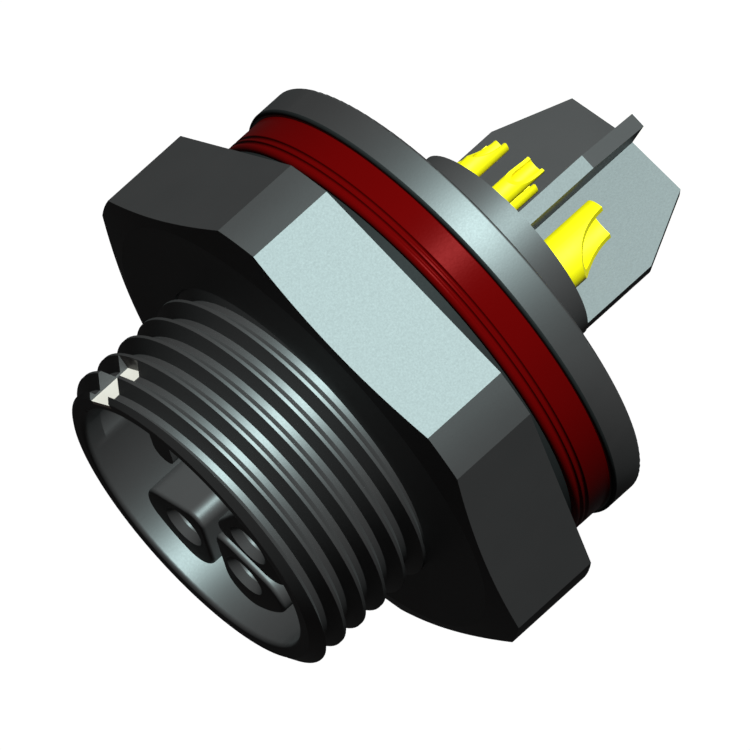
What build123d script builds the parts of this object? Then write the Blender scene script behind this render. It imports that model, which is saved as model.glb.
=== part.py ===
from build123d import *
import os
from math import cos, radians, sin, sqrt, tan

# Hybrid panel receptacle with three power and four signal sockets, in millimetres.
# The origin is the centre of the flange's sealing face, +Z points to the mating end and
# +Y to the alignment mark. Clock angles are degrees from +Y, towards -X.

# Coupling thread, right-handed, with the 60 degree form
thread_d = 20.0
thread_pitch = 1.5
thread_clearance = 0.12
thread_phase = -0.225       # height of a crest over the rim, on the +X side
thread_neck = 0.9           # plain neck between the flange and the first turn

# Shell
barrel_length = 18.1
barrel_wall = 0.838         # between the thread's root and the mating cavity
lip_radius = 0.3
rim_chamfer_height = 0.55
flange_d = 28.6
flange_thickness = 2.1
flange_edge = 0.2
floor_height = 5.2          # bottom of the mating cavity above the sealing face
shelf_thickness = 1.2
shelf_width = 1.25

# Keying inside the rim
coding_rib_angle = -34.5
coding_rib_width = 1.6
coding_rib_reach = 1.65
coding_rib_length = 5.7
latch_pocket_angle = 49.0
latch_pocket_radius = 2.2
latch_pocket_depth = 0.42
latch_pocket_start = 1.24
latch_pocket_length = 5.0

# Alignment mark
mark_width = 2.25
mark_length = 2.75
mark_thickness = 0.2
mark_sink = 0.188           # its flat top lies this far below the thread's root

# Nut, washer and gasket
nut_across_flats = 29.5
nut_corner_d = 32.5
nut_height = 6.0
nut_chamfer_angle = 14.0
nut_bevel = 0.6
washer_inset = 0.22         # inside the gasket's edge
washer_thickness = 0.85
washer_play = 0.3
gasket_inset = 0.33         # inside the flange's edge
gasket_thickness = 2.65
gasket_band = 1.54          # smooth part next to the flange
gasket_groove = 0.28        # width of a groove, twice its depth
gasket_groove_count = 2
gasket_edge = 0.3
gasket_play = 0.1
stack_gap = 0.05

# Insulators
insert_play = 0.1
base_thickness = 2.3
insert_disc_thickness = 2.4
tower_inset = 0.92          # power towers end this far behind the rim
signal_inset = 6.1
tower_clearance = 0.25      # to the shelf round the towers
tower_angle = 72.0
tower_slot = 1.0
tower_corner = 1.7
tower_apex = 0.8
tower_edge = 0.25
boss_d = 12.76
boss_length = 3.66          # from the back of the flange
wall_thickness = 0.93
wall_straight = 8.44        # length behind the flange before the walls narrow
wall_length = 12.73
wall_end_radius = 4.29
wall_angles = (63.5, 144, -144, -63.5)

# Seals and snap ring
insert_seal_size = 0.8      # side of its square section
seal_groove_width = 1.0
seal_squeeze_gap = 0.02
face_seal_thickness = 0.8
ring_thickness = 0.7
ring_width = 1.7
ring_gap = 5.0
ring_groove_depth = 0.45
ring_float = 0.05

# Power contacts
power_angles = (-108, 108, 180)
power_openings = (-127, 127, 180)   # clock angles that the solder cups open to
power_pitch_radius = 4.15
power_body_d = 3.1
power_tube_d = 2.5
power_bore_d = 2.0
power_shoulder_d = 3.7
power_shoulder = 1.0
power_tip_inset = 2.7       # behind the face of its tower
power_tip_room = 0.6
pin_hole_d = 2.1
pin_mouth_d = 2.75
pin_mouth_angle = 66.0
power_bore_depth = 8.5
power_slit = 0.3
power_slit_length = 5.5
power_slit_count = 2
power_cup_length = 4.22     # behind the boss
power_cup_bore_d = 2.35
power_cup_depth = 3.8
power_scoop_radius = 3.9
contact_play = 0.045

# Spring sleeves on the power sockets
spring_thickness = 0.18
spring_length = 6.0
spring_play = 0.02
spring_slit = 0.4

# Signal contacts
signal_places = ((4.75, -39.5), (4.75, 0.0), (1.8, 0.0), (4.75, 39.5))
signal_body_d = 1.31
signal_tube_d = 1.1
signal_bore_d = 0.8
signal_shoulder_d = 1.9
signal_shoulder = 0.8
signal_tip_inset = 1.0
signal_bore_depth = 5.0
signal_slit = 0.15
signal_slit_length = 3.0
signal_slit_count = 1
signal_cup_length = 3.17
signal_cup_bore_d = 0.9
signal_cup_depth = 2.7
signal_scoop_radius = 3.6

# Room added to cutters so that they pass through the faces that they open
overcut = 1.0

# Heights and radii that follow from the driving sizes
crest_radius = thread_d / 2
thread_depth = thread_pitch * sqrt(3) / 2 * 5 / 8
root_radius = crest_radius - thread_depth
bore_radius = root_radius - barrel_wall
shelf_radius = bore_radius - shelf_width
tower_radius = shelf_radius - tower_clearance
mark_top = root_radius - mark_sink
gasket_radius = flange_d / 2 - gasket_inset
washer_radius = gasket_radius - washer_inset
rim = barrel_length
shelf_bottom = floor_height - shelf_thickness
base_bottom = shelf_bottom - base_thickness
disc_bottom = base_bottom - insert_disc_thickness
insert_radius = bore_radius - insert_play
flange_back = -flange_thickness
boss_end = flange_back - boss_length
boss_radius = boss_d / 2
tower_top = rim - tower_inset
power_tip = tower_top - power_tip_inset
signal_top = rim - signal_inset
washer_bottom = gasket_thickness + stack_gap
nut_bottom = washer_bottom + washer_thickness + stack_gap
nut_top = nut_bottom + nut_height


def clock(radius, angle):
    """Point at a radius and a clock angle."""
    return (-radius * sin(radians(angle)), radius * cos(radians(angle)))


def helix_ridge(growth, first_turn, turns):
    """Helical ridge of the coupling thread, grown outwards on every flank by a clearance."""
    embed = thread_clearance
    flank = tan(radians(30))
    side = growth / cos(radians(30))
    foot = root_radius - embed
    foot_half = thread_pitch * 3 / 8 + embed * flank + side
    top = crest_radius + growth
    top_half = thread_pitch / 16 - growth * flank + side
    start = rim + thread_phase - first_turn * thread_pitch
    with BuildPart() as ridge:
        with BuildLine() as path:
            Helix(pitch=thread_pitch, height=turns * thread_pitch, radius=root_radius,
                  center=(0, 0, start))
        with BuildSketch(Plane(origin=path.line @ 0, x_dir=(1, 0, 0), z_dir=path.line % 0)):
            with BuildLine():
                Polyline(
                    (foot - root_radius, -foot_half),
                    (top - root_radius, -top_half),
                    (top - root_radius, top_half),
                    (foot - root_radius, foot_half),
                    close=True,
                )
            make_face()
        sweep(path=path.line, is_frenet=True)
    return ridge.part


# Shell: flange, barrel, mating cavity and rear opening are one moulding
with BuildPart() as shell:
    with BuildSketch(Plane.XZ):
        with BuildLine():
            Polyline(
                (bore_radius, flange_back),
                (flange_d / 2, flange_back),
                (flange_d / 2, 0),
                (root_radius, 0),
                (root_radius, rim),
                (bore_radius, rim),
                (bore_radius, floor_height),
                (shelf_radius, floor_height),
                (shelf_radius, shelf_bottom),
                (bore_radius, shelf_bottom),
                close=True,
            )
        make_face()
    revolve(axis=Axis.Z)
    flange_edges = shell.edges().filter_by(GeomType.CIRCLE).filter_by(
        lambda e: abs(e.radius - flange_d / 2) < flange_edge)
    fillet(flange_edges, flange_edge)
    lip_edge = shell.edges().filter_by(GeomType.CIRCLE).filter_by(
        lambda e: abs(e.radius - bore_radius) < lip_radius).sort_by(Axis.Z)[-1]
    fillet(lip_edge, lip_radius)

    # Coding rib down the cavity wall
    with BuildSketch(Plane.XY.offset(rim - coding_rib_length)):
        nose = bore_radius - coding_rib_reach + coding_rib_width / 2
        rib_back = bore_radius + lip_radius
        with Locations(clock(nose, coding_rib_angle)):
            Circle(coding_rib_width / 2)
        with Locations(clock((nose + rib_back) / 2, coding_rib_angle)):
            Rectangle(coding_rib_width, rib_back - nose, rotation=coding_rib_angle)
    extrude(amount=coding_rib_length)

    # Shallow rounded pocket in the cavity wall
    with BuildSketch(Plane.XY.offset(rim - latch_pocket_start)):
        pocket_centre = bore_radius + latch_pocket_depth - latch_pocket_radius
        with Locations(clock(pocket_centre, latch_pocket_angle)):
            Circle(latch_pocket_radius)
    extrude(amount=-latch_pocket_length, mode=Mode.SUBTRACT)

    # Groove for the snap ring behind the insert
    with BuildSketch(Plane.XZ):
        with Locations((bore_radius, disc_bottom)):
            Rectangle(ring_groove_depth, ring_thickness + ring_float,
                      align=(Align.MIN, Align.MAX))
    revolve(axis=Axis.Z, mode=Mode.SUBTRACT)

    # Coupling thread, cut back by the lead-in cone at the rim
    neck_turns = (rim + thread_phase - thread_neck) // thread_pitch
    add(helix_ridge(0, neck_turns, neck_turns + 0.5))
    with BuildSketch(Plane.XZ):
        with BuildLine():
            Polyline(
                (bore_radius, rim),
                (bore_radius, rim + thread_pitch + overcut),
                (crest_radius + overcut, rim + thread_pitch + overcut),
                (crest_radius + overcut,
                 rim - rim_chamfer_height * (1 + overcut / thread_depth)),
                (root_radius, rim),
                close=True,
            )
        make_face()
    revolve(axis=Axis.Z, mode=Mode.SUBTRACT)

    # Slot for the alignment mark across the first turns
    mark_floor = mark_top - mark_thickness
    with Locations((0, mark_floor, rim + overcut)):
        Box(mark_width, crest_radius, mark_length + overcut,
            align=(Align.CENTER, Align.MIN, Align.MAX), mode=Mode.SUBTRACT)
shell.part.label = "shell"
export_step(shell.part, "parts/shell.step")

# Beige mark at the bottom of its slot
with BuildPart() as alignment_mark:
    with Locations((0, mark_floor, rim)):
        Box(mark_width, mark_thickness, mark_length,
            align=(Align.CENTER, Align.MIN, Align.MAX))
alignment_mark.part.label = "alignment_mark"
export_step(alignment_mark.part, "parts/alignment_mark.step")

# Tap that cuts the nut's thread: the barrel's own thread with clearance all round
with BuildPart() as nut_tap:
    spare = 3 * thread_pitch
    with Locations((0, 0, nut_bottom - spare)):
        Cylinder(root_radius + thread_clearance, nut_height + 2 * spare,
                 align=(Align.CENTER, Align.CENTER, Align.MIN))
    turns_below = (rim + thread_phase - nut_bottom) // thread_pitch + 2
    add(helix_ridge(thread_clearance, turns_below, nut_height // thread_pitch + 3))

# Hex nut: corners turned to a cylinder, a shallow cone on the front face, threaded bore
with BuildPart() as hex_nut:
    with BuildSketch(Plane.XY.offset(nut_bottom)):
        RegularPolygon(nut_across_flats / 2, 6, major_radius=False)
    extrude(amount=nut_height)
    with BuildSketch(Plane.XZ):
        cone_start = nut_across_flats / 2 - nut_bevel
        corner_drop = (nut_corner_d / 2 - cone_start) * tan(radians(nut_chamfer_angle))
        with BuildLine():
            Polyline(
                (0, nut_bottom),
                (nut_corner_d / 2, nut_bottom),
                (nut_corner_d / 2, nut_top - corner_drop),
                (cone_start, nut_top),
                (0, nut_top),
                close=True,
            )
        make_face()
    revolve(axis=Axis.Z, mode=Mode.INTERSECT)
    add(nut_tap.part, mode=Mode.SUBTRACT)
hex_nut.part.label = "hex_nut"
export_step(hex_nut.part, "parts/hex_nut.step")

# Flat washer that keeps the turning nut off the gasket
with BuildPart() as nut_washer:
    with BuildSketch(Plane.XY.offset(washer_bottom)):
        Circle(washer_radius)
        Circle(crest_radius + washer_play, mode=Mode.SUBTRACT)
    extrude(amount=washer_thickness)
nut_washer.part.label = "nut_washer"
export_step(nut_washer.part, "parts/nut_washer.step")

# Gasket: smooth band at the flange, grooves towards the panel, rounded front edge
with BuildPart() as panel_gasket:
    with BuildSketch(Plane.XZ):
        gasket_bore_radius = crest_radius + gasket_play
        with Locations((gasket_bore_radius, 0)):
            Rectangle(gasket_radius - gasket_bore_radius, gasket_thickness,
                      align=(Align.MIN, Align.MIN))
    revolve(axis=Axis.Z)
    front_edge = panel_gasket.edges().filter_by(GeomType.CIRCLE).filter_by(
        lambda e: e.radius > crest_radius + washer_play).sort_by(Axis.Z)[-1]
    fillet(front_edge, gasket_edge)
    groove_step = (gasket_thickness - gasket_edge - gasket_band) / gasket_groove_count
    with BuildSketch(Plane.XZ):
        for count in range(gasket_groove_count):
            with Locations((gasket_radius, gasket_band + groove_step * (count + 0.5))):
                Rectangle(gasket_groove / sqrt(2), gasket_groove / sqrt(2), rotation=45)
    revolve(axis=Axis.Z, mode=Mode.SUBTRACT)
panel_gasket.part.label = "panel_gasket"
export_step(panel_gasket.part, "parts/panel_gasket.step")


def tower(centre_angle, sector_angle, top):
    """Pie-shaped tower with rounded corners, from the insert's base to its top."""
    reach = 2 * tower_radius
    sharp_radius = tower_radius + tower_slot / 2
    half = sector_angle / 2
    with BuildPart() as block:
        with BuildSketch(Plane.XY.offset(base_bottom)) as outline:
            Circle(sharp_radius)
            with BuildSketch(mode=Mode.INTERSECT):
                with BuildLine():
                    Polyline(
                        (0, 0),
                        clock(reach, centre_angle - half),
                        clock(2 * reach, centre_angle),
                        clock(reach, centre_angle + half),
                        close=True,
                    )
                make_face()
            offset(amount=-tower_slot / 2, kind=Kind.INTERSECTION)
            corners = outline.vertices().sort_by(SortBy.DISTANCE)
            fillet(corners[1:], tower_corner)
        extrude(amount=top - base_bottom)
        apex = block.edges().filter_by(Axis.Z).sort_by(SortBy.DISTANCE)[0]
        fillet(apex, tower_apex)
        fillet(block.faces().sort_by(Axis.Z)[-1].edges(), tower_edge)
    return block.part


# Front insulator: base disc, three power towers and the lower signal block
with BuildPart() as front_insulator:
    with BuildSketch(Plane.XY.offset(base_bottom)):
        Circle(insert_radius)
    extrude(amount=base_thickness)
    for angle in power_angles:
        add(tower(angle, tower_angle, tower_top))
    add(tower(0, 360 - len(power_angles) * tower_angle, signal_top))
    # Power wells open to the rear; the roof of their tower only lets the pin through
    with BuildSketch(Plane.XY.offset(base_bottom)):
        for angle in power_angles:
            with Locations(clock(power_pitch_radius, angle)):
                Circle(power_body_d / 2 + contact_play)
    extrude(amount=power_tip + power_tip_room - base_bottom, mode=Mode.SUBTRACT)
    for angle in power_angles:
        with Locations((*clock(power_pitch_radius, angle), tower_top)):
            CounterSinkHole(pin_hole_d / 2, pin_mouth_d / 2, power_tip_inset,
                            pin_mouth_angle)
    with BuildSketch(Plane.XY.offset(base_bottom)):
        for radius, angle in signal_places:
            with Locations(clock(radius, angle)):
                Circle(signal_body_d / 2)
    extrude(amount=signal_top - base_bottom + overcut, mode=Mode.SUBTRACT)
front_insulator.part.label = "front_insulator"
export_step(front_insulator.part, "parts/front_insulator.step")

# Rear insulator: grooved disc in the shell, boss behind the flange, four divider walls
with BuildPart() as rear_insulator:
    with BuildSketch(Plane.XY.offset(disc_bottom)):
        Circle(insert_radius)
    extrude(amount=insert_disc_thickness)
    with BuildSketch(Plane.XY.offset(boss_end)):
        Circle(boss_radius)
    extrude(amount=disc_bottom - boss_end)
    for angle in wall_angles:
        outward = clock(1, angle)
        wall_plane = Plane(origin=(0, 0, 0), x_dir=(*outward, 0),
                           z_dir=(-outward[1], outward[0], 0))
        with BuildSketch(wall_plane):
            with BuildLine():
                down = -1 if wall_plane.y_dir.Z > 0 else 1
                straight_end = down * (wall_straight - flange_back)
                wall_end = down * (wall_length - flange_back)
                Polyline(
                    (0, -down * boss_end),
                    (boss_radius, -down * boss_end),
                    (boss_radius, straight_end),
                    (wall_end_radius, wall_end),
                    (0, wall_end),
                    close=True,
                )
            make_face()
        extrude(amount=wall_thickness / 2, both=True)
    with BuildSketch(Plane.XZ):
        groove_middle = (disc_bottom + base_bottom) / 2
        with Locations((insert_radius + overcut, groove_middle)):
            Rectangle(insert_seal_size + 2 * seal_squeeze_gap + overcut - insert_play,
                      seal_groove_width, align=(Align.MAX, Align.CENTER))
    revolve(axis=Axis.Z, mode=Mode.SUBTRACT)
    for angle in power_angles:
        with Locations((*clock(power_pitch_radius, angle), base_bottom)):
            CounterBoreHole(power_body_d / 2 + contact_play,
                            power_shoulder_d / 2 + contact_play,
                            power_shoulder, base_bottom - boss_end)
    for radius, angle in signal_places:
        with Locations((*clock(radius, angle), base_bottom)):
            CounterBoreHole(signal_body_d / 2 + contact_play,
                            signal_shoulder_d / 2 + contact_play,
                            signal_shoulder, base_bottom - boss_end)
rear_insulator.part.label = "rear_insulator"
export_step(rear_insulator.part, "parts/rear_insulator.step")

# Square seal ring in the groove of the rear insulator, against the shell
with BuildPart() as insert_seal:
    with BuildSketch(Plane.XZ):
        with Locations((bore_radius - seal_squeeze_gap, groove_middle)):
            Rectangle(insert_seal_size, insert_seal_size, align=(Align.MAX, Align.CENTER))
    revolve(axis=Axis.Z)
insert_seal.part.label = "insert_seal"
export_step(insert_seal.part, "parts/insert_seal.step")

# Flat seal on the shelf at the bottom of the cavity
with BuildPart() as face_seal:
    with BuildSketch(Plane.XY.offset(floor_height)):
        Circle(bore_radius - ring_float)
        Circle(shelf_radius, mode=Mode.SUBTRACT)
    extrude(amount=face_seal_thickness)
face_seal.part.label = "face_seal"
export_step(face_seal.part, "parts/face_seal.step")

# Open snap ring behind the insert
with BuildPart() as retaining_ring:
    ring_outer = bore_radius + ring_groove_depth - ring_float
    with BuildSketch(Plane.XY.offset(disc_bottom)):
        Circle(ring_outer)
        Circle(ring_outer - ring_width, mode=Mode.SUBTRACT)
        with Locations((0, ring_outer)):
            Rectangle(ring_gap, 4 * ring_width, mode=Mode.SUBTRACT)
    extrude(amount=-ring_thickness)
retaining_ring.part.label = "retaining_ring"
export_step(retaining_ring.part, "parts/retaining_ring.step")


def contact(place, opening, sizes):
    """Turned contact: slotted socket tube, shoulder, body and scooped solder cup."""
    (body_d, tube_d, bore, shoulder_d, shoulder, tip, bore_depth,
     slit, slit_length, slits, cup_end, cup_bore, cup_depth, scoop_radius) = sizes
    axis_point = (*place, 0)
    with BuildPart() as piece:
        with Locations((*place, cup_end)):
            Cylinder(body_d / 2, base_bottom - cup_end,
                     align=(Align.CENTER, Align.CENTER, Align.MIN))
        with Locations((*place, base_bottom)):
            Cylinder(shoulder_d / 2, shoulder, align=(Align.CENTER, Align.CENTER, Align.MAX))
            Cylinder(tube_d / 2, tip - base_bottom,
                     align=(Align.CENTER, Align.CENTER, Align.MIN))
        with Locations((*place, tip)):
            Cylinder(bore / 2, bore_depth, align=(Align.CENTER, Align.CENTER, Align.MAX),
                     mode=Mode.SUBTRACT)
            for turn in range(slits):
                Box(slit, 2 * tube_d, slit_length, rotation=(0, 0, 90 * turn),
                    align=(Align.CENTER, Align.CENTER, Align.MAX), mode=Mode.SUBTRACT)
        with Locations((*place, cup_end)):
            Cylinder(cup_bore / 2, cup_depth, align=(Align.CENTER, Align.CENTER, Align.MIN),
                     mode=Mode.SUBTRACT)
        # One large arc scoops the cup away, from its axis at the end to its outside
        outward = clock(1, opening)
        with BuildSketch(Plane(origin=axis_point, x_dir=(*outward, 0),
                               z_dir=(outward[1], -outward[0], 0))):
            with BuildLine():
                rise = sqrt(scoop_radius ** 2 - (scoop_radius - body_d) ** 2)
                RadiusArc((0, cup_end), (body_d, cup_end + rise), scoop_radius)
                Polyline((body_d, cup_end + rise), (body_d, cup_end - overcut),
                         (0, cup_end - overcut), (0, cup_end))
            make_face()
        extrude(amount=body_d, both=True, mode=Mode.SUBTRACT)
    return piece.part


power_sizes = (power_body_d, power_tube_d, power_bore_d, power_shoulder_d, power_shoulder,
               power_tip, power_bore_depth, power_slit, power_slit_length, power_slit_count,
               boss_end - power_cup_length, power_cup_bore_d, power_cup_depth,
               power_scoop_radius)
for number, (angle, opening) in enumerate(zip(power_angles, power_openings), start=1):
    place = clock(power_pitch_radius, angle)
    power_contact = contact(place, opening, power_sizes)
    power_contact.label = f"power_contact_{number}"
    export_step(power_contact, f"parts/power_contact_{number}.step")

    # Split steel sleeve round the slotted end of the socket
    with BuildPart() as contact_spring:
        with BuildSketch(Plane.XY.offset(power_tip - spring_length)):
            with Locations(place):
                Circle(power_tube_d / 2 + spring_play + spring_thickness)
                Circle(power_tube_d / 2 + spring_play, mode=Mode.SUBTRACT)
            with Locations(clock(power_pitch_radius - power_tube_d / 2, angle)):
                Rectangle(spring_slit, power_tube_d, rotation=angle, mode=Mode.SUBTRACT)
        extrude(amount=spring_length)
    contact_spring.part.label = f"contact_spring_{number}"
    export_step(contact_spring.part, f"parts/contact_spring_{number}.step")

signal_sizes = (signal_body_d, signal_tube_d, signal_bore_d, signal_shoulder_d,
                signal_shoulder, signal_top - signal_tip_inset, signal_bore_depth,
                signal_slit, signal_slit_length, signal_slit_count,
                boss_end - signal_cup_length,
                signal_cup_bore_d, signal_cup_depth, signal_scoop_radius)
for number, (radius, angle) in enumerate(signal_places, start=1):
    signal_contact = contact(clock(radius, angle), angle, signal_sizes)
    signal_contact.label = f"signal_contact_{number}"
    export_step(signal_contact, f"parts/signal_contact_{number}.step")
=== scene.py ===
from math import cos, pi, radians, sin

import bpy
import numpy as np
from mathutils import Matrix, Vector


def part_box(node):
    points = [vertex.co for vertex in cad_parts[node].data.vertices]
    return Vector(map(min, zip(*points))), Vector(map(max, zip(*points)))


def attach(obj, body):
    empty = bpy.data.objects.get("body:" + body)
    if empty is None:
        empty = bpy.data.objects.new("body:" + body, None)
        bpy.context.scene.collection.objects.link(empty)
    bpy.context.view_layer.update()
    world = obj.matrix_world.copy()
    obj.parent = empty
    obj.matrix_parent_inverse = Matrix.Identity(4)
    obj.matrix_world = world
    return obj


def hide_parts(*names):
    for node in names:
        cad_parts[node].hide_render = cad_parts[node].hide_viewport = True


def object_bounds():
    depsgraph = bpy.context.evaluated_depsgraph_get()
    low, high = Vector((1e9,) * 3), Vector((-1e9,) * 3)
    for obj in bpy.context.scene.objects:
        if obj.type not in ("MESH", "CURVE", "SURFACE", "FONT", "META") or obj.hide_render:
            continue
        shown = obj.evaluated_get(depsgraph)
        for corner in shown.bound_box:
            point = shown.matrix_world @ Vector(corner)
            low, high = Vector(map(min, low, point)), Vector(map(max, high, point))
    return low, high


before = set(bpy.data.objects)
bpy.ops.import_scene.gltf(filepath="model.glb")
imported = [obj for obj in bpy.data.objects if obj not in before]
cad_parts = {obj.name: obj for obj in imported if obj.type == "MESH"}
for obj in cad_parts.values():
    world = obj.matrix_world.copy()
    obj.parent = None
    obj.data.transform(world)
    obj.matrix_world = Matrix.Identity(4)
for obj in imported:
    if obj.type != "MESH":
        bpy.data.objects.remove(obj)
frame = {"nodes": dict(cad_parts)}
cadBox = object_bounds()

mm = 0.001
nodes = frame["nodes"]
print("stage 1: frame loaded,", len(nodes), "pieces")


# Shader helpers and node groups

cloudDetail = 3.0            # octaves of the noise that makes soft clouds
grainDetail = 2.0            # octaves of the noise that makes grain
metalDulling = 1.3           # roughness of metal inside a cloud, as a share of its own


def newGroup(name, inputs, outputs):
    # inputs and outputs are rows of (socket name, socket type, default value)
    group = bpy.data.node_groups.new(name, "ShaderNodeTree")
    for label, kind, value in inputs:
        socket = group.interface.new_socket(name=label, in_out="INPUT", socket_type=kind)
        socket.default_value = value
    for label, kind in outputs:
        group.interface.new_socket(name=label, in_out="OUTPUT", socket_type=kind)
    return group, group.nodes.new("NodeGroupInput"), group.nodes.new("NodeGroupOutput")


def noiseNode(tree, vector, scale, detail):
    # cloud-like noise in 3D, from 0 to 1
    noise = tree.nodes.new("ShaderNodeTexNoise")
    noise.inputs["Detail"].default_value = detail
    tree.links.new(vector, noise.inputs["Vector"])
    tree.links.new(scale, noise.inputs["Scale"])
    return noise.outputs["Fac"]


def rangeNode(tree, value, low, high):
    # value from 0..1 to low..high, where either end may be a socket or a number
    ramp = tree.nodes.new("ShaderNodeMapRange")
    tree.links.new(value, ramp.inputs["Value"])
    for socket, end in (("To Min", low), ("To Max", high)):
        if isinstance(end, (int, float)):
            ramp.inputs[socket].default_value = end
        else:
            tree.links.new(end, ramp.inputs[socket])
    return ramp.outputs["Result"]


def mathNode(tree, operation, a, b):
    node = tree.nodes.new("ShaderNodeMath")
    node.operation = operation
    for socket, value in zip(node.inputs, (a, b)):
        if isinstance(value, (int, float)):
            socket.default_value = value
        else:
            tree.links.new(value, socket)
    return node.outputs["Value"]


def scaledColour(tree, colour, factor):
    # colour multiplied by a number that changes over the surface
    node = tree.nodes.new("ShaderNodeVectorMath")
    node.operation = "SCALE"
    tree.links.new(colour, node.inputs[0])
    tree.links.new(factor, node.inputs["Scale"])
    return node.outputs["Vector"]


def mouldedSkinGroup():
    # moulded surface: soft flow clouds in the tone, fine grain in the gloss and the height
    group, given, out = newGroup(
        "mouldedSkin",
        [("Colour", "NodeSocketColor", (0.01, 0.01, 0.01, 1)),
         ("Roughness", "NodeSocketFloat", 0.5),
         ("Cloud Size", "NodeSocketFloat", 300.0),
         ("Cloud Amount", "NodeSocketFloat", 0.1),
         ("Grain Size", "NodeSocketFloat", 9000.0),
         ("Grain Gloss", "NodeSocketFloat", 0.04)],
        [("Colour", "NodeSocketColor"), ("Roughness", "NodeSocketFloat"),
         ("Height", "NodeSocketFloat")])
    place = group.nodes.new("ShaderNodeTexCoord").outputs["Object"]
    cloud = noiseNode(group, place, given.outputs["Cloud Size"], cloudDetail)
    grain = noiseNode(group, place, given.outputs["Grain Size"], grainDetail)
    darker = mathNode(group, "SUBTRACT", 1.0, given.outputs["Cloud Amount"])
    lighter = mathNode(group, "ADD", 1.0, given.outputs["Cloud Amount"])
    tone = rangeNode(group, cloud, darker, lighter)
    group.links.new(scaledColour(group, given.outputs["Colour"], tone), out.inputs["Colour"])
    duller = mathNode(group, "ADD", given.outputs["Roughness"], given.outputs["Grain Gloss"])
    glossier = mathNode(group, "SUBTRACT", given.outputs["Roughness"],
                        given.outputs["Grain Gloss"])
    group.links.new(rangeNode(group, grain, glossier, duller), out.inputs["Roughness"])
    group.links.new(grain, out.inputs["Height"])
    return group


def turnedMetalGroup():
    # turned metal: fine rings across the Z axis, uneven in depth, over faint clouds of tone
    group, given, out = newGroup(
        "turnedMetal",
        [("Colour", "NodeSocketColor", (1, 0.8, 0.1, 1)),
         ("Roughness", "NodeSocketFloat", 0.3),
         ("Ring Pitch", "NodeSocketFloat", 0.00008),
         ("Cloud Size", "NodeSocketFloat", 900.0),
         ("Cloud Amount", "NodeSocketFloat", 0.08)],
        [("Colour", "NodeSocketColor"), ("Roughness", "NodeSocketFloat"),
         ("Height", "NodeSocketFloat")])
    place = group.nodes.new("ShaderNodeTexCoord").outputs["Object"]
    split = group.nodes.new("ShaderNodeSeparateXYZ")
    group.links.new(place, split.inputs["Vector"])
    turns = mathNode(group, "DIVIDE", split.outputs["Z"], given.outputs["Ring Pitch"])
    wave = mathNode(group, "SINE", mathNode(group, "MULTIPLY", turns, 2 * pi), 0.0)
    cloud = noiseNode(group, place, given.outputs["Cloud Size"], cloudDetail)
    darker = mathNode(group, "SUBTRACT", 1.0, given.outputs["Cloud Amount"])
    tone = rangeNode(group, cloud, darker, 1.0)
    group.links.new(scaledColour(group, given.outputs["Colour"], tone), out.inputs["Colour"])
    duller = mathNode(group, "MULTIPLY", given.outputs["Roughness"], metalDulling)
    group.links.new(rangeNode(group, cloud, given.outputs["Roughness"], duller),
                    out.inputs["Roughness"])
    group.links.new(mathNode(group, "MULTIPLY", wave, cloud), out.inputs["Height"])
    return group


mouldedSkin = mouldedSkinGroup()
turnedMetal = turnedMetalGroup()


def groupMaterial(name, group, finish):
    # finish: "group" holds the group's values, "shader" the shader's own, "bump" the height in metres
    material = bpy.data.materials.new(name)
    material.use_nodes = True
    tree = material.node_tree
    shader = tree.nodes["Principled BSDF"]
    skin = tree.nodes.new("ShaderNodeGroup")
    skin.node_tree = group
    for socket, value in finish["group"].items():
        skin.inputs[socket].default_value = value
    for socket, value in finish["shader"].items():
        shader.inputs[socket].default_value = value
    tree.links.new(skin.outputs["Colour"], shader.inputs["Base Color"])
    tree.links.new(skin.outputs["Roughness"], shader.inputs["Roughness"])
    bump = tree.nodes.new("ShaderNodeBump")
    bump.inputs["Distance"].default_value = finish["bump"]
    tree.links.new(skin.outputs["Height"], bump.inputs["Height"])
    tree.links.new(bump.outputs["Normal"], shader.inputs["Normal"])
    return material


# Finishes: what to change for another look of the same part

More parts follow.
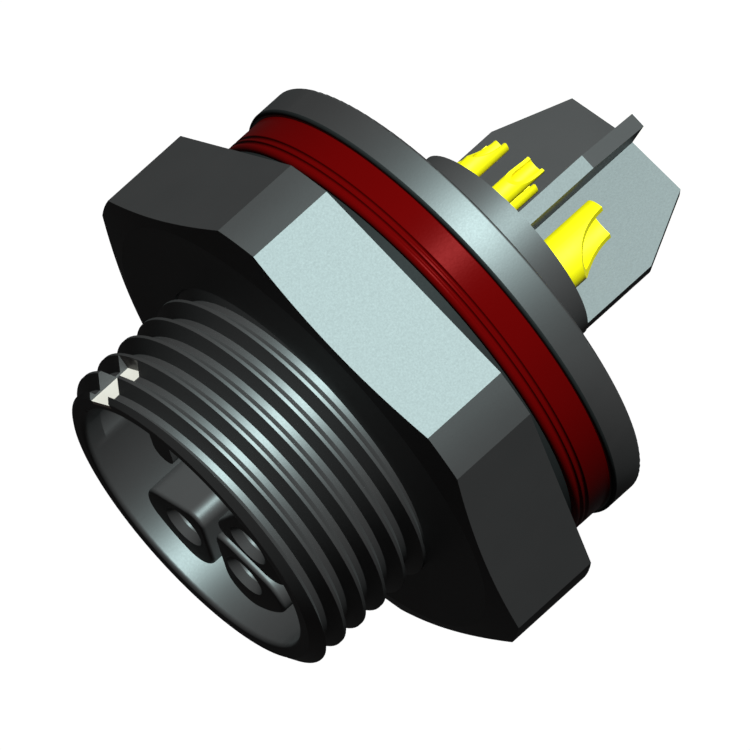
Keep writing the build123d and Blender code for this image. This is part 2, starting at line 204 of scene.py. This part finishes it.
blackPlastic = {
    "group": {"Colour": (0.0150, 0.0107, 0.0107, 1), "Roughness": 0.50, "Cloud Size": 260.0,
              "Cloud Amount": 0.12, "Grain Size": 9000.0, "Grain Gloss": 0.03},
    "shader": {"Specular IOR Level": 0.5},
    "bump": 0.000002,
}
insertPlastic = {
    "group": {"Colour": (0.0215, 0.0160, 0.0160, 1), "Roughness": 0.54, "Cloud Size": 320.0,
              "Cloud Amount": 0.1, "Grain Size": 9000.0, "Grain Gloss": 0.03},
    "shader": {"Specular IOR Level": 0.4},
    "bump": 0.000002,
}
finishes = {
    "shell_plastic": (mouldedSkin, blackPlastic),
    "nut_plastic": (mouldedSkin, {
        **blackPlastic, "group": {**blackPlastic["group"], "Roughness": 0.53}}),
    "insert_plastic": (mouldedSkin, insertPlastic),
    "washer_plastic": (mouldedSkin, {
        "group": {"Colour": (0.0060, 0.0055, 0.0055, 1), "Roughness": 0.7, "Cloud Size": 400.0,
                  "Cloud Amount": 0.15, "Grain Size": 7000.0, "Grain Gloss": 0.05},
        "shader": {"Specular IOR Level": 0.08}, "bump": 0.000003}),
    "mark_plastic": (mouldedSkin, {
        "group": {"Colour": (0.42, 0.32, 0.285, 1), "Roughness": 0.5, "Cloud Size": 900.0,
                  "Cloud Amount": 0.03, "Grain Size": 9000.0, "Grain Gloss": 0.04},
        "shader": {}, "bump": 0.000002}),
    "gasket_rubber": (mouldedSkin, {
        "group": {"Colour": (0.047, 0.0004, 0.0004, 1), "Roughness": 0.29, "Cloud Size": 350.0,
                  "Cloud Amount": 0.06, "Grain Size": 6000.0, "Grain Gloss": 0.03},
        "shader": {"Specular IOR Level": 0.022, "Specular Tint": (1, 0.1, 0.1, 1)},
        "bump": 0.000003}),
    "seal_rubber": (mouldedSkin, {
        "group": {"Colour": (0.006, 0.006, 0.006, 1), "Roughness": 0.65, "Cloud Size": 500.0,
                  "Cloud Amount": 0.1, "Grain Size": 6000.0, "Grain Gloss": 0.05},
        "shader": {"Specular IOR Level": 0.3}, "bump": 0.000003}),
    "contact_gold": (turnedMetal, {
        "group": {"Colour": (0.53, 0.40, 0.0, 1), "Roughness": 0.55, "Ring Pitch": 0.00009,
                  "Cloud Size": 900.0, "Cloud Amount": 0.05},
        "shader": {"Metallic": 0.25, "Specular IOR Level": 0.2}, "bump": 0.000001}),
    "spring_steel": (turnedMetal, {
        "group": {"Colour": (0.62, 0.61, 0.58, 1), "Roughness": 0.25, "Ring Pitch": 0.00012,
                  "Cloud Size": 900.0, "Cloud Amount": 0.1},
        "shader": {"Metallic": 1.0}, "bump": 0.000001}),
}
materials = {slot: groupMaterial(slot, *finish) for slot, finish in finishes.items()}
print("stage 2: materials made,", len(materials))

# pieces that come in numbers share one row
slotOfKind = {
    "shell": "shell_plastic", "hex_nut": "nut_plastic", "nut_washer": "washer_plastic",
    "front_insulator": "insert_plastic", "rear_insulator": "insert_plastic",
    "alignment_mark": "mark_plastic", "panel_gasket": "gasket_rubber",
    "insert_seal": "seal_rubber", "face_seal": "seal_rubber",
    "power_contact": "contact_gold", "signal_contact": "contact_gold",
    "contact_spring": "spring_steel", "retaining_ring": "spring_steel",
}
for name, piece in nodes.items():
    slot = slotOfKind[name.rstrip("_0123456789")]
    piece.data.materials.clear()
    piece.data.materials.append(materials[slot])
print("stage 3: finishes on the pieces that come from the frame")


# Numpy surfaces

def gridMesh(name, points, material):
    # points is rows x columns x 3; both ways round are closed, and faces look along row x column
    rows, columns, _ = points.shape
    first = np.arange(rows * columns).reshape(rows, columns)
    ahead = np.roll(first, -1, axis=0)
    faces = np.stack([first, np.roll(first, -1, axis=1), np.roll(ahead, -1, axis=1), ahead],
                     axis=-1).reshape(-1, 4)
    mesh = bpy.data.meshes.new(name)
    mesh.from_pydata(points.reshape(-1, 3), [], faces)
    mesh.polygons.foreach_set("use_smooth", np.ones(len(faces), bool))
    mesh.materials.append(material)
    mesh.update()
    piece = bpy.data.objects.new(name, mesh)
    bpy.context.scene.collection.objects.link(piece)
    return piece


# Gasket

gasket = {
    "band": 1.54,            # smooth part next to the flange, all in mm
    "grooves": 2,
    "grooveWidth": 0.28,
    "grooveDepth": 0.16,
    "frontEdge": 0.3,
    "rearEdge": 0.06,
    "innerEdge": 0.08,
    "segments": 256,
    "steps": 220,
}


def gasketProfile(low, high, outer, inner, look):
    # outer side: radius = outer, less a half-round dip at each groove, less the quarter rounds at
    # its two ends; then the straight inner side, one closed loop of (radius, height)
    bottom, top = low.z / mm, high.z / mm
    height = bottom + (top - bottom) * (0.5 - 0.5 * np.cos(np.linspace(0, pi, look["steps"])))
    radius = np.full_like(height, outer / mm)
    step = (top - look["frontEdge"] - look["band"]) / look["grooves"]
    for count in range(look["grooves"]):
        middle = look["band"] + step * (count + 0.5)
        across = (height - middle) / (look["grooveWidth"] / 2)
        radius -= look["grooveDepth"] * np.sqrt(np.clip(1 - across ** 2, 0, None))
    for edge, depth in ((look["frontEdge"], height - top + look["frontEdge"]),
                        (look["rearEdge"], bottom + look["rearEdge"] - height)):
        inside = np.clip(depth, 0, edge)
        radius -= edge - np.sqrt(edge ** 2 - inside ** 2)
    innerHeight = np.array([top, top - look["innerEdge"], bottom + look["innerEdge"], bottom])
    innerRadius = inner / mm + np.array([look["innerEdge"], 0, 0, look["innerEdge"]])
    return np.concatenate([radius, innerRadius]) * mm, np.concatenate([height, innerHeight]) * mm


def revolved(name, radius, height, segments, material):
    # the profile turned about Z: point = (radius cos turn, radius sin turn, height)
    turn = np.linspace(0, 2 * pi, segments, endpoint=False)[:, None]
    points = np.stack([radius * np.cos(turn), radius * np.sin(turn),
                       np.broadcast_to(height, (segments, len(height)))], axis=-1)
    return gridMesh(name, points, material)


low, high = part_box("panel_gasket")
innerSide = min(Vector(v.co[:2]).length for v in nodes["panel_gasket"].data.vertices)
gasketRing = revolved("gasket_ring", *gasketProfile(low, high, high.x, innerSide, gasket),
                      gasket["segments"], materials["gasket_rubber"])
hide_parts("panel_gasket")
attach(gasketRing, "shell")
print("stage 4: gasket")


# Flange edge: its small rounding drawn evenly, where the frame has long thin triangles. It wears
# the washer's near-black finish as painted shade: the dark line of shade next to the gasket

flangeEdge = {
    "round": 0.2,            # radius of the rounding, all in mm
    "proud": 0.004,          # above the frame's surface
    "sunk": 0.1,             # the ring's own back, inside the flange
    "segments": 256,
    "steps": 24,
}


def edgeProfile(rim, front, look):
    # quarter round about (rim - round, front - round), out on its proud side and back on the sunk one
    turn = np.linspace(0, pi / 2, look["steps"])
    turn = np.concatenate([turn, turn[::-1]])
    size = np.repeat([look["round"] + look["proud"], look["round"] - look["sunk"]],
                     look["steps"])
    radius = rim / mm - look["round"] + size * np.cos(turn)
    height = front / mm - look["round"] + size * np.sin(turn)
    return radius * mm, height * mm


rim = max(Vector(v.co[:2]).length for v in nodes["shell"].data.vertices)
# the shell's rounding gets the washer's near-black finish, painted shade at the joint with the gasket
flangeRoundPaintedShade = revolved("flange_edge_painted_shade", *edgeProfile(rim, low.z, flangeEdge),
                      flangeEdge["segments"], materials["washer_plastic"])
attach(flangeRoundPaintedShade, "shell")
print("stage 5: flange edge")


# Smooth shading of round faces on the frame's own pieces, which keeps their vertices

# faces that meet at more than sharpAngle, in degrees, keep a crisp edge
smoothing = {"weld": 0.000001, "sharpAngle": {"hex_nut": 12, "rear_insulator": 18},
             "otherAngle": 28}
for name, piece in {**nodes, "flange_edge_painted_shade": flangeRoundPaintedShade}.items():
    piece.data.polygons.foreach_set("use_smooth", np.ones(len(piece.data.polygons), bool))
    weld = piece.modifiers.new("joinedTriangles", "WELD")
    weld.merge_threshold = smoothing["weld"]
    split = piece.modifiers.new("sharpEdges", "EDGE_SPLIT")
    split.split_angle = radians(smoothing["sharpAngle"].get(name, smoothing["otherAngle"]))
    split.use_edge_sharp = False
print("stage 6: smooth shading")


# Stage, lights and camera

studio = {
    "azimuth": 112.8,         # where the camera stands, in degrees
    "elevation": 15.5,
    "roll": 228.05,           # the part's axis lies aslant in the picture
    "lookAt": (0.186, -0.4425, 4.613),
    "pictureWidth": 40.7,
    "lens": 1500.0,
    "farthest": 100.0,        # what the camera still sees, in metres
    "roomGlow": 0.04,         # of the room on the part, and as the camera sees the room itself
    "backdropGlow": 1.0,
    "floorReach": 1.2,        # half the floor's side, in metres
    "floorColour": (0.9, 0.9, 0.9, 1),
    "floorRoughness": 0.9,
    "floorGlow": 1.0,
}
keyLight = {
    "azimuth": 126.8,
    "elevation": -15.5,
    "distance": 0.6,          # in metres, like its size
    "size": 0.12,
    "power": 16.0,
    "colour": (0.75, 1, 1),   # the photo's highlights are a little blue
    "shadow": False,
}


def direction(azimuth, elevation):
    # unit vector towards a place that stands at this azimuth and elevation
    a, e = radians(azimuth), radians(elevation)
    return Vector((sin(a) * cos(e), -cos(a) * cos(e), sin(e)))


def cameraFrame(azimuth, elevation, roll):
    # columns are the picture's right, its up and the way back to the camera
    back = direction(azimuth, elevation)
    level = Vector((-back.y, back.x, 0)).normalized()
    upright = back.cross(level)
    r = radians(roll)
    right = cos(r) * level + sin(r) * upright
    up = cos(r) * upright - sin(r) * level
    return Matrix((right, up, back)).transposed()


def aimedLight(name, target, look):
    lamp = bpy.data.lights.new(name, "AREA")
    lamp.shape = "DISK"
    lamp.size = look["size"]
    lamp.energy = look["power"]
    lamp.color = look["colour"]
    lamp.use_shadow = look["shadow"]
    light = bpy.data.objects.new(name, lamp)
    back = direction(look["azimuth"], look["elevation"])
    light.location = target + back * look["distance"]
    light.rotation_euler = back.to_track_quat("Z", "Y").to_euler()
    bpy.context.scene.collection.objects.link(light)


lens = bpy.data.cameras.new("camera")
lens.lens = studio["lens"]
lens.clip_end = studio["farthest"]
camera = bpy.data.objects.new("camera", lens)
axes = cameraFrame(studio["azimuth"], studio["elevation"], studio["roll"])
reach = studio["pictureWidth"] * mm * lens.lens / lens.sensor_width
centre = Vector(studio["lookAt"]) * mm
camera.matrix_world = Matrix.Translation(centre + axes.col[2] * reach) @ axes.to_4x4()
bpy.context.scene.collection.objects.link(camera)
bpy.context.scene.camera = camera

aimedLight("key", centre, keyLight)

world = bpy.data.worlds.new("paleRoom")
world.use_nodes = True
bpy.context.scene.world = world
tree = world.node_tree
background = tree.nodes["Background"]
seen = tree.nodes.new("ShaderNodeLightPath").outputs["Is Camera Ray"]
glow = rangeNode(tree, seen, studio["roomGlow"], studio["backdropGlow"])
tree.links.new(glow, background.inputs["Strength"])
background.inputs["Color"].default_value = (1, 1, 1, 1)

floorMesh = bpy.data.meshes.new("floor")
side = studio["floorReach"]
ground = cadBox[0].z
floorMesh.from_pydata([(-side, -side, ground), (side, -side, ground), (side, side, ground),
                       (-side, side, ground)], [], [(0, 1, 2, 3)])
floor = bpy.data.objects.new("floor", floorMesh)
bpy.context.scene.collection.objects.link(floor)
paper = bpy.data.materials.new("palePaper")
paper.use_nodes = True
paperShader = paper.node_tree.nodes["Principled BSDF"]
paperShader.inputs["Base Color"].default_value = studio["floorColour"]
paperShader.inputs["Roughness"].default_value = studio["floorRoughness"]
paperShader.inputs["Emission Color"].default_value = (1, 1, 1, 1)
paperShader.inputs["Emission Strength"].default_value = studio["floorGlow"]
floorMesh.materials.append(paper)
floor.visible_glossy = False
floor.visible_diffuse = False
floor.visible_shadow = False

bpy.context.scene.view_settings.view_transform = "Standard"
print("stage 7: camera, lights and floor")
